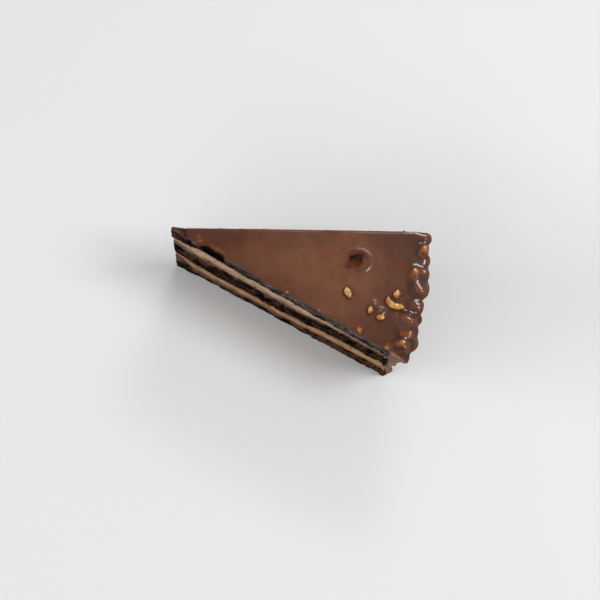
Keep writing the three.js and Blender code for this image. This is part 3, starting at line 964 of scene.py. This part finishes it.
# Nuts that the knife went through, at the edge of the glaze, and spots where it lies thin over a nut:
# angle in degrees, radius, width and strength
CUT_NUTS = (
    (-7.4, 15.6 * MM, 2.4 * MM, 0.5),
    (-10.3, 23.4 * MM, 3 * MM, 0.75),
    (-11.1, 26.4 * MM, 2.8 * MM, 0.75),
    (-13.8, 61.8 * MM, 2 * MM, 0.8),
    (-14.2, 78.8 * MM, 1.8 * MM, 0.8),
    (-13.5, 98.8 * MM, 3.6 * MM, 0.8),
    (-14.2, 113.6 * MM, 2.8 * MM, 1),
)
THIN_SPOTS = (
    (-5, 14.8 * MM, 6 * MM, 0.7),
    (-9.8, 21.5 * MM, 4.5 * MM, 1),
    (-10.4, 24.5 * MM, 5 * MM, 1),
    (-11.2, 27 * MM, 4.5 * MM, 0.9),
    (-1.4, 113.6 * MM, 5 * MM, 0.5),
    (0.5, 101 * MM, 7 * MM, 0.35),
    (9.1, 110.4 * MM, 9 * MM, 0.35),
    (-13.6, 114 * MM, 5 * MM, 0.8),
    (-12, 119 * MM, 7 * MM, 0.5),
)
DARK_SPOTS = ((3.2, 84 * MM, 7.5 * MM, 0.85),)  # where the half nut's skin shows through
SPOT_FADE = (0.1, 0.65)  # shares of its width between which a spot fades out


def mark_section(coat):
    """Stores where the knife has cut the coat, and which layers it has drawn over the section."""
    points = points_of(coat.data)
    depth = depth_under_cut(points)
    write_attribute(coat, "cut", 1 - smoothstep(*SECTION_BAND, depth))
    write_attribute(coat, "inset", np.clip(depth / INSET_REACH, 0, 1))
    write_attribute(coat, "drag", 1 - smoothstep(0, DRAG_REACH, beyond_core(points)))
    write_attribute(coat, "pale", cream_share(points[:, 2]))


def mark_nuts(coat, golden_nuts, filmed_nuts, half_nut):
    """Stores where nuts show through the glaze, where painted shade darkens it round the golden chips and
    where nuts were cut with it.
    """
    points = points_of(coat.data)
    warm_nuts = [nut for nut in filmed_nuts if not nut.name.startswith(NEAR_CORNER_KERNEL)]
    film = np.maximum(film_share(points, warm_nuts), spot_share(points, THIN_SPOTS))
    skin = np.maximum(film_share(points, [half_nut]), spot_share(points, DARK_SPOTS))
    write_attribute(coat, "film", film)
    write_attribute(coat, "skin", skin)
    write_attribute(coat, "foot", film_share(points, golden_nuts))
    write_attribute(coat, "nut", spot_share(points, CUT_NUTS))


def mark_gloss(coat):
    """Stores where the glaze is wet, where it is the outer wall, and its crests and hollows, which the
    material paints lighter and with painted shade.
    """
    points = points_of(coat.data)
    normals = normals_of(coat.data)
    rise = above_top(points)
    at_rim = smoothstep(*PROUD_ZONE, axis_distance(points))
    steep = 1 - smoothstep(*STEEP, normals[:, 2])
    on_wall = at_rim * np.maximum(steep, smoothstep(*WALL_DROP, -rise))
    rim_gloss = at_rim * (1 - WALL_DULLNESS * on_wall)
    mounds = smoothstep(*WET_BAND, rise)
    near_side = smoothstep(-NEAR_SIDE, NEAR_SIDE, -normals[:, 1])
    sunken = hollowness(coat.data) / HOLLOW_DEPTH
    write_attribute(coat, "wet", at_least(FAR_WETNESS, near_side) * mounds)
    write_attribute(coat, "proud", np.maximum(MOUND_PROUDNESS * mounds, rim_gloss))
    write_attribute(coat, "wall", on_wall)
    write_attribute(coat, "hollow", np.clip(sunken, 0, 1))
    write_attribute(coat, "crest", np.clip(-sunken, 0, 1))


def hollowness(mesh):
    """How far each point lies below the average of the surface round it."""
    ends = np.empty(len(mesh.edges) * 2, np.int32)
    mesh.edges.foreach_get("vertices", ends)
    first, second = ends.reshape(-1, 2).T
    count = len(mesh.vertices)
    neighbours = np.bincount(first, minlength=count) + np.bincount(second, minlength=count)
    points = points_of(mesh)
    average = points.copy()
    for _ in range(HOLLOW_ROUNDS):
        sums = []
        for row in average.T:
            sums.append(np.bincount(first, row[second], count) + np.bincount(second, row[first], count))
        average = (np.array(sums) / neighbours).T
    return np.sum((average - points) * normals_of(mesh), axis=1)


def film_share(points, nuts):
    """How close the glaze lies to the nearest of some nuts, from 0 to 1."""
    share = np.zeros(len(points))
    for nut in nuts:
        mesh = nut.data
        tree = BVHTree.FromPolygons([v.co for v in mesh.vertices], [p.vertices for p in mesh.polygons])
        corners = points_of(mesh)
        inside = (points > corners.min(axis=0) - FILM_REACH) & (points < corners.max(axis=0) + FILM_REACH)
        for i in np.flatnonzero(inside.all(axis=1)):
            distance = tree.find_nearest(points[i])[3]
            share[i] = max(share[i], 1 - distance / FILM_REACH)
    return share


def cream_share(heights):
    """1 at the heights of the two creams near the rim, 0 at those of the sponge."""
    share = np.zeros(len(heights))
    for low, high in RIM_CREAMS:
        share += smoothstep(low - CREAM_EDGE, low + CREAM_EDGE, heights)
        share -= smoothstep(high - CREAM_EDGE, high + CREAM_EDGE, heights)
    return share


def spot_share(points, spots):
    """How close the glaze lies to the middle of a spot near its top, from 0 to 1."""
    share = np.zeros(len(points))
    below = np.maximum(0, -above_top(points))
    for angle, radius, width, strength in spots:
        centre = place(math.radians(angle), radius, TIP_HEIGHT)
        aside = np.hypot(points[:, 0] - centre.x, points[:, 1] - centre.y)
        faded = smoothstep(SPOT_FADE[0] * width, SPOT_FADE[1] * width, np.hypot(aside, below))
        share = np.maximum(share, strength * (1 - faded))
    return share


# Crumbs

CRUMB_SEED = 41
CRUMBS = 420
CRUMB_WIDTH = (0.4 * MM, 1.5 * MM)
CRUMB_SMALLNESS = 3  # powers of the draws: most crumbs are small and lie low
CRUMB_LOWNESS = 1.4
CRUMB_ROUGHNESS = (0.75, 1.2)
CRUMB_SHOWING = 0.6  # share of the crumbs that stick to the face that shows
CRUMB_LOWEST = 0.9 * MM
CRUMB_RANGE = 62 * MM  # heights above the lowest
CRUMB_TIP_GAP = 6 * MM
CRUMB_SINK = 0.2 * MM


def stuck_crumbs(material):
    """Sponge crumbs that the knife left on both cut faces, as one mesh of small rough lumps."""
    draw = random.Random(CRUMB_SEED)
    corners, lump_faces = unit_lump()
    smallest, largest = CRUMB_WIDTH
    vertices = []
    faces = []
    for _ in range(CRUMBS):
        centre = crumb_place(draw)
        width = smallest + (largest - smallest) * draw.random() ** CRUMB_SMALLNESS
        angle = draw.uniform(0, 2 * math.pi)
        turn = Matrix.Rotation(angle, 3, Vector([draw.gauss(0, 1) for _ in range(3)]))
        start = len(vertices)
        for corner in corners:
            vertices.append(centre + turn @ corner * width / 2 * draw.uniform(*CRUMB_ROUGHNESS))
        faces += [[start + i for i in face] for face in lump_faces]
    mesh = bpy.data.meshes.new("stuck_crumbs")
    mesh.from_pydata(vertices, [], faces)
    piece = bpy.data.objects.new("stuck_crumbs", mesh)
    scene.collection.objects.link(piece)
    return dress(piece, material, "sponge")


def unit_lump():
    """The corners and faces of a coarse ball of radius 1."""
    bpy.ops.object.select_all(action="DESELECT")
    bpy.ops.mesh.primitive_ico_sphere_add(subdivisions=1, radius=1)
    ball = bpy.context.object
    corners = [v.co.copy() for v in ball.data.vertices]
    faces = [tuple(p.vertices) for p in ball.data.polygons]
    bpy.data.objects.remove(ball)
    return corners, faces


def crumb_place(draw):
    """A place on one of the cut faces, more often low down and on the side that shows."""
    side = -1 if draw.random() < CRUMB_SHOWING else 1
    height = CRUMB_RANGE * draw.random() ** CRUMB_LOWNESS + CRUMB_LOWEST
    radius = draw.uniform(CRUMB_TIP_GAP, CORE_RADIUS)
    lean = KNIFE_LEAN * (1 - height / TIP_HEIGHT) if side < 0 else 0
    return place(side * HALF_ANGLE + lean - side * CRUMB_SINK / radius, radius, height)


# Stage

FLOOR_SIZE = 4.0
FLOOR_TONES = ((0.78, 0.78, 0.78, 1), (0.8, 0.8, 0.8, 1))
FLOOR_CLOUDS = 0.5
FLOOR_ROUGHNESS = 0.6

# Soft boxes light the slice, and glint panels only show as highlights on what is wet: angle about the
# picture from its right side anticlockwise, angle from the vertical, distance, width, height and power
SOFT_BOXES = {
    "key": (-7, 32, 1.2, 0.42, 0.42, 7.6),
    "front": (236, 50, 1.2, 0.8, 0.5, 1.8),
    "back": (72, 46, 1.2, 0.45, 0.26, 2.4),
    "left_window": (190, 56, 1.2, 0.9, 0.22, 4.6),
}
GLINT_PANELS = {
    "key_glint": (-14, 34, 1.2, 0.34, 0.34, 3.6),
    "back_glint": (64, 47, 1.2, 0.85, 0.5, 9),
    "left_glint": (190, 56, 1.2, 0.9, 0.22, 2.4),
}
SKY = 0.26


def floor():
    """A plain pale floor."""
    bpy.ops.object.select_all(action="DESELECT")
    bpy.ops.mesh.primitive_plane_add(size=FLOOR_SIZE)
    ground = bpy.context.object
    ground.name = "floor"
    look = Look("pale_floor")
    tone = look.mix(look.noise(FLOOR_CLOUDS, detail=1), *FLOOR_TONES)
    ground.data.materials.append(look.surface(Base_Color=tone, Roughness=FLOOR_ROUGHNESS))


def camera():
    """The photograph's camera."""
    right = Vector((math.cos(VIEW_AZIMUTH), math.sin(VIEW_AZIMUTH), 0))
    level = math.cos(VIEW_ELEVATION)
    back = Vector((right.y * level, -right.x * level, math.sin(VIEW_ELEVATION)))
    up = back.cross(right)
    aim = CUTS_MEET + Vector(VIEW_AIM) + VIEW_OFFSET[0] * right + VIEW_OFFSET[1] * up
    lens = bpy.data.cameras.new("camera")
    lens.lens = VIEW_LENS
    lens.sensor_width = VIEW_SENSOR
    eye = bpy.data.objects.new("camera", lens)
    turn = Matrix((right, up, back)).transposed()
    eye.matrix_world = Matrix.Translation(aim + VIEW_DISTANCE * back) @ turn.to_4x4()
    scene.collection.objects.link(eye)
    scene.camera = eye


def lights():
    """The soft boxes, the glint panels and a pale sky."""
    middle = (cad_box[0] + cad_box[1]) / 2
    for name, (about, tilt, distance, width, height, power) in (SOFT_BOXES | GLINT_PANELS).items():
        turn = math.radians(about) + VIEW_AZIMUTH
        lean = math.radians(tilt)
        towards = Vector((math.cos(turn) * math.sin(lean), math.sin(turn) * math.sin(lean), math.cos(lean)))
        lamp = bpy.data.lights.new(name, "AREA")
        lamp.shape = "ELLIPSE"
        lamp.size = width
        lamp.size_y = height
        lamp.energy = power
        box = bpy.data.objects.new(name, lamp)
        box.location = middle + towards * distance
        box.rotation_euler = towards.to_track_quat("Z", "Y").to_euler()
        box.visible_glossy = name in GLINT_PANELS
        box.visible_diffuse = name in SOFT_BOXES
        scene.collection.objects.link(box)
    world = bpy.data.worlds.new("studio")
    world.use_nodes = True
    world.node_tree.nodes["Background"].inputs["Strength"].default_value = SKY
    world.node_tree.nodes["Background"].inputs["Color"].default_value = (1, 1, 1, 1)
    scene.world = world
    scene.view_settings.view_transform = "Standard"


camera()
lights()
floor()

sponge = sponge_look()
for node in SPONGES:
    sponge_layer(node, sponge)
for node, tones in CREAM_LOOKS.items():
    cream_layer(node, cream_look(*tones))
coat = rough_coat()
golden = golden_nut_look()
golden_nuts = [nut_piece(node, golden, CHIP_UNEVENNESS) for node in GOLDEN_NUTS]
filmed = filmed_nut_look()
filmed_nuts = [nut_piece(node, filmed, KERNEL_UNEVENNESS) for node in RIM_NUTS]
half_nut = nut_piece(HALF_NUT, skin_look(), KERNEL_UNEVENNESS)
finish_coat(coat, glaze_look(), golden_nuts, filmed_nuts, half_nut)
stuck_crumbs(crumb_look())
